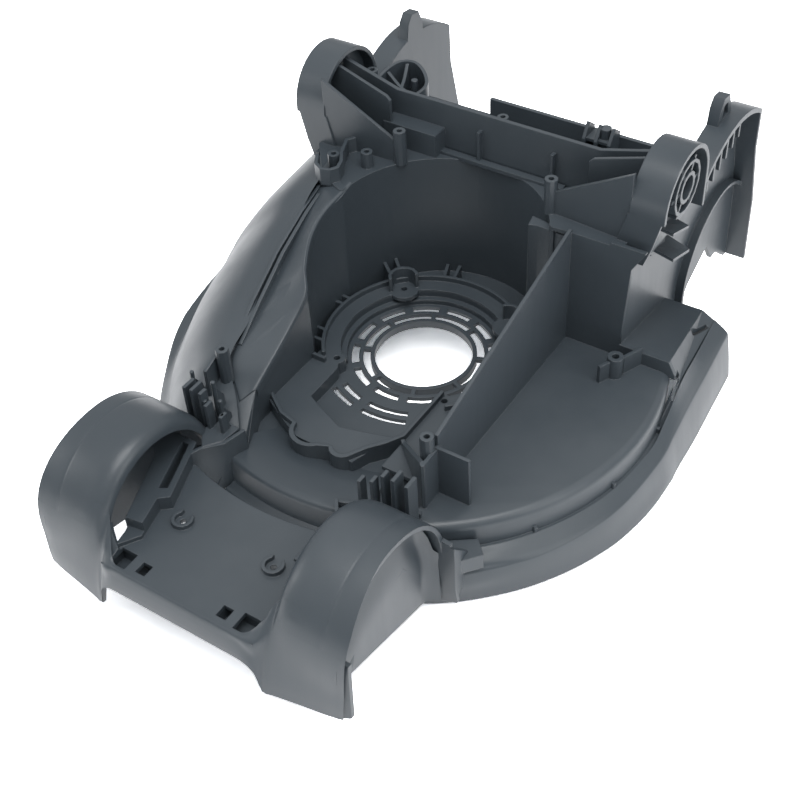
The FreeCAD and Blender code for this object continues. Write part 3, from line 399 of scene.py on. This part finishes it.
# Skirt and shoulder below the gutter: sloping flange, crease and flared side, as radius or X, and height
SKIRT = [(170.2, -9.9), (175.8, -13.8), (180.4, -17.2), (181.5, -19.6), (182.7, -30), (183.8, -41.3)]
SKIRT_END = [(170.2, -9.9), (174, -12.6), (177.4, -15.2), (178.8, -18), (181.4, -29), (183.8, -41.3)]
SKIRT_HALF = [((a[0] + b[0]) / 2, (a[1] + b[1]) / 2) for a, b in zip(SKIRT, SKIRT_END)]
SKIRT_ROWS = [(-76, SKIRT), (-62, SKIRT), (-48, SKIRT), (-34, SKIRT), (-17, SKIRT_HALF), (0, SKIRT_END)]
SHOULDER_ROWS = [
    (28, (169.2, -4.5), (172.6, -8), (176, -11.8), (177.6, -15), (180.4, -28), (182.7, -41.3)),
    (57, (166.2, 4.6), (169.8, -2), (173.8, -8.2), (175.6, -12), (179, -27), (181.4, -41.3)),
    (92, (163.2, 4.6), (167.6, 0.2), (172, -5.2), (173.8, -9), (177, -25), (178.8, -41.3)),
    (127.8, (159.6, 3.8), (165, 0.6), (169.8, -3.2), (171.2, -7), (174, -24), (176.2, -41.3)),
]
skirt_rows = [[turned(deg, 0, r, z) for r, z in row] for deg, row in SKIRT_ROWS]
skirt_rows += [[Vector((x, y, z)) for x, z in row] for y, *row in SHOULDER_ROWS]
skin("skirt_skin", patch(skirt_rows, 10, 5), (1, -0.3, 0.6), lift=0.1, reach=3.0, spread=(3, 1))

# Raised front end of the bay floor, with its upright front wall
BAY_FROM, BAY_TO = -111, -69
BAY_EDGE = [(116, 0.2), (121, 1.6), (128, 4.6), (136, 7.0), (148, 9.4), (156, 10.8), (160.0, 11.0),
            (161.6, 10.0), (162.3, 7.6), (162.9, 0.0), (163.4, -9.8)]
bay_rows = [[turned(deg, 0, r, z) for r, z in BAY_EDGE] for deg in range(BAY_FROM, BAY_TO + 1)]
sheet("bay_front", metres(bay_rows))

# Small moulded details, seated on the solid
COLUMN_SIDES, COLUMN_BEVEL, BORE_DEPTH, POINT_R = 20, 0.4, 8, 0.01


def column(name, x, y, low, high, r, bore=0.0):
    """Round post, with a blind hole in its top where bore is more than zero."""
    n = COLUMN_SIDES
    ring = [(math.cos(2 * math.pi * k / n), math.sin(2 * math.pi * k / n)) for k in range(n)]
    levels = [(r, low), (r, high - COLUMN_BEVEL), (r - COLUMN_BEVEL, high)]
    if bore:
        levels += [(bore, high), (bore, high - BORE_DEPTH), (POINT_R, high - BORE_DEPTH)]
    else:
        levels += [(POINT_R, high)]
    verts = [((x + a * c) / PER_M, (y + a * d) / PER_M, z / PER_M) for a, z in levels for c, d in ring]
    faces = [(k * n + j, k * n + (j + 1) % n, (k + 1) * n + (j + 1) % n, (k + 1) * n + j)
             for k in range(len(levels) - 1) for j in range(n)]
    smooth(piece(name, verts, faces), DETAIL_BEND)


def wall(name, points, low, high, thick, steps=6):
    """Upright wall along a smooth line in plan; high is one height, or one per point."""
    highs = high if isinstance(high, list) else [high] * len(points)
    line = curve([Vector((*p, 0)) for p in points], steps)
    tops = [level.y for level in curve([Vector((low, h, 0)) for h in highs], steps)]
    verts = []
    for i, (p, top) in enumerate(zip(line, tops)):
        along = (line[min(i + 1, len(line) - 1)] - line[max(i - 1, 0)]).normalized()
        across = Vector((-along.y, along.x, 0)) * thick / 2
        for q, h in ((p + across, low), (p + across, top), (p - across, top), (p - across, low)):
            verts.append((q.x / PER_M, q.y / PER_M, h / PER_M))
    faces = [(4 * i + k, 4 * i + (k + 1) % 4, 4 * i + 4 + (k + 1) % 4, 4 * i + 4 + k)
             for i in range(len(line) - 1) for k in range(4)]
    faces += [(0, 1, 2, 3), tuple(len(verts) - 1 - k for k in range(4))]
    smooth(piece(name, verts, faces), DETAIL_BEND)


def slab(name, top, thick):
    """Flat plate given by the four corners of its top face."""
    verts = [(x / PER_M, y / PER_M, (z - down) / PER_M) for down in (0, thick) for x, y, z in top]
    faces = [(0, 1, 2, 3), (7, 6, 5, 4)] + [(k, (k + 1) % 4, 4 + (k + 1) % 4, 4 + k) for k in range(4)]
    piece(name, verts, faces, smooth_faces=False)


PLATFORM_Z, RIB = 98, 2.4
FOOT_Z = PLATFORM_Z - 1
# Bracket behind the cross wall on the left
wall("bracket_wall", [(-113, 124), (-114, 140), (-110, 151), (-100, 154), (-88, 147), (-80, 137), (-83, 127)],
     FOOT_Z, [120, 120, 121, 121, 120, 117, 113], RIB)
wall("bracket_rib_1", [(-112, 136), (-98, 131), (-84, 127)], FOOT_Z, [119, 113, 112], RIB)
wall("bracket_rib_2", [(-105, 151), (-101, 140), (-98, 131)], FOOT_Z, [120, 114, 112], RIB)
wall("bracket_rib_3", [(-104, 112), (-94, 117), (-84, 127)], FOOT_Z, 112, RIB)
column("bracket_post", -112, 116, FOOT_Z, 131, 4.2, bore=2.0)
column("bracket_pin", -92, 140, FOOT_Z, 116, 2.6)
# Raised strip along the foot of the cross wall
wall("platform_step", [(-57, 93.2), (-20, 93.2), (20, 93.2), (55, 93.2)], FOOT_Z, PLATFORM_Z + 2.2, 5.4)
# Stop bars below the right pivot
slab("stop_bar_1", [(121, 82, 103), (139, 82, 100), (139, 108, 90), (121, 108, 95)], RIB)
slab("stop_bar_2", [(121, 90, 78), (138, 90, 74), (138, 118, 64), (121, 118, 70)], RIB)
slab("stop_web", [(121, 86, 100), (124, 86, 100), (124, 108, 92), (121, 108, 92)], 26)
# Pins among the fins at the front end of the tunnel: X, Y and height, each with a sloping web behind it
FIN_PINS = [(-78.6, -144.5, 47), (-66.5, -148.0, 45), (-69.0, -136.0, 50), (-53.0, -149.0, 40),
            (-92.0, -130.5, 44), (-60.5, -141.0, 42)]
PIN_FOOT, PIN_R, WEB_HALF, WEB_LENGTH, WEB_DEPTH = 2, 1.5, 1, 7, 22
for k, (x, y, top) in enumerate(FIN_PINS):
    column("fin_pin_%d" % k, x, y, PIN_FOOT, top, PIN_R)
    slab("fin_web_%d" % k, [(x - WEB_HALF, y, top - 5), (x + WEB_HALF, y, top - 5),
                            (x + WEB_HALF, y + WEB_LENGTH, top - 16),
                            (x - WEB_HALF, y + WEB_LENGTH, top - 16)], WEB_DEPTH)

# Pale floor: bright to the camera, dimmer in the plastic's reflections, and plain as a source of light
FLOOR_Z, REFLECTED = -0.0432, 0.30
FLOOR_WHITE, FLOOR_PLAIN, FLOOR_GLOW = (2.7, 2.7, 2.73, 1), (0.55, 0.55, 0.56, 1), 0.75
bpy.ops.mesh.primitive_plane_add(size=8, location=(0, 0, FLOOR_Z))
floor = bpy.context.object
floor.name = "floor"
mat = bpy.data.materials.new("floor")
mat.use_nodes = True
tree = mat.node_tree
tree.nodes.clear()
path = node(tree, "ShaderNodeLightPath").outputs
seen = maths(tree, "MAXIMUM", path["Is Glossy Ray"], path["Is Transmission Ray"])
seen = maths(tree, "MULTIPLY", seen, REFLECTED)
seen = maths(tree, "MAXIMUM", seen, path["Is Camera Ray"])
white = node(tree, "ShaderNodeBsdfDiffuse", {"Color": FLOOR_WHITE}).outputs[0]
plain = node(tree, "ShaderNodeBsdfDiffuse", {"Color": FLOOR_PLAIN}).outputs[0]
glow = node(tree, "ShaderNodeEmission", {"Color": (1, 1, 1, 1), "Strength": FLOOR_GLOW}).outputs[0]
plain = node(tree, "ShaderNodeAddShader", {0: plain, 1: glow}).outputs[0]
both = node(tree, "ShaderNodeMixShader", {0: seen, 1: plain, 2: white}).outputs[0]
node(tree, "ShaderNodeOutputMaterial", {"Surface": both})
floor.data.materials.append(mat)

# Soft light from all round, stronger from above, and a white backdrop
SKY, SKY_LOW, SKY_HIGH = (0.97, 0.985, 1.0, 1), 0.25, 0.74
world = bpy.data.worlds.new("studio")
bpy.context.scene.world = world
world.use_nodes = True
tree = world.node_tree
tree.nodes.clear()
height = node(tree, "ShaderNodeTexCoord").outputs["Generated"]
height = node(tree, "ShaderNodeSeparateXYZ", {"Vector": height}).outputs["Z"]
strength = ramp(tree, height, 0.0, 0.5, SKY_LOW, SKY_HIGH)
sky = node(tree, "ShaderNodeBackground", {"Color": SKY, "Strength": strength}).outputs[0]
backdrop = node(tree, "ShaderNodeBackground", {"Color": (1, 1, 1, 1), "Strength": 1.0}).outputs[0]
direct = node(tree, "ShaderNodeLightPath").outputs["Is Camera Ray"]
sky = node(tree, "ShaderNodeMixShader", {0: direct, 1: sky, 2: backdrop}).outputs[0]
node(tree, "ShaderNodeOutputWorld", {"Surface": sky})


def lamp(name, place, aim, size, size_y, power):
    data = bpy.data.lights.new(name, "AREA")
    data.shape, data.size, data.size_y, data.energy = "RECTANGLE", size, size_y, power
    obj = bpy.data.objects.new(name, data)
    bpy.context.scene.collection.objects.link(obj)
    obj.location = place
    obj.rotation_euler = (Vector(place) - Vector(aim)).to_track_quat("Z", "Y").to_euler()


lamp("top", (0.35, -0.35, 1.9), (0, 0, 0), 1.3, 1.0, 24)
lamp("left", (-1.5, -0.9, 0.75), (-0.1, -0.1, 0), 0.5, 0.8, 5)
lamp("right", (1.6, -0.2, 0.9), (0, 0, 0), 0.7, 1.2, 8)

# Camera, as the picture was taken: its right, down and forward directions, and its place
RIGHT = (0.8373002, 0.5448724, -0.0451938)
DOWN = (0.3500885, -0.5977940, -0.7211659)
AHEAD = (-0.4199600, 0.5880106, -0.6912866)
PLACE = (0.3762, -0.5585, 0.6004)
cam_data = bpy.data.cameras.new("camera")
cam_data.lens, cam_data.sensor_width = 58.506, 36
cam_data.clip_start, cam_data.clip_end = 0.05, 30
camera = bpy.data.objects.new("camera", cam_data)
bpy.context.scene.collection.objects.link(camera)
m = Matrix.Identity(4)
for i in range(3):
    m[i] = (RIGHT[i], -DOWN[i], -AHEAD[i], PLACE[i])
camera.matrix_world = m
bpy.context.scene.camera = camera
bpy.context.scene.view_settings.view_transform = "Standard"
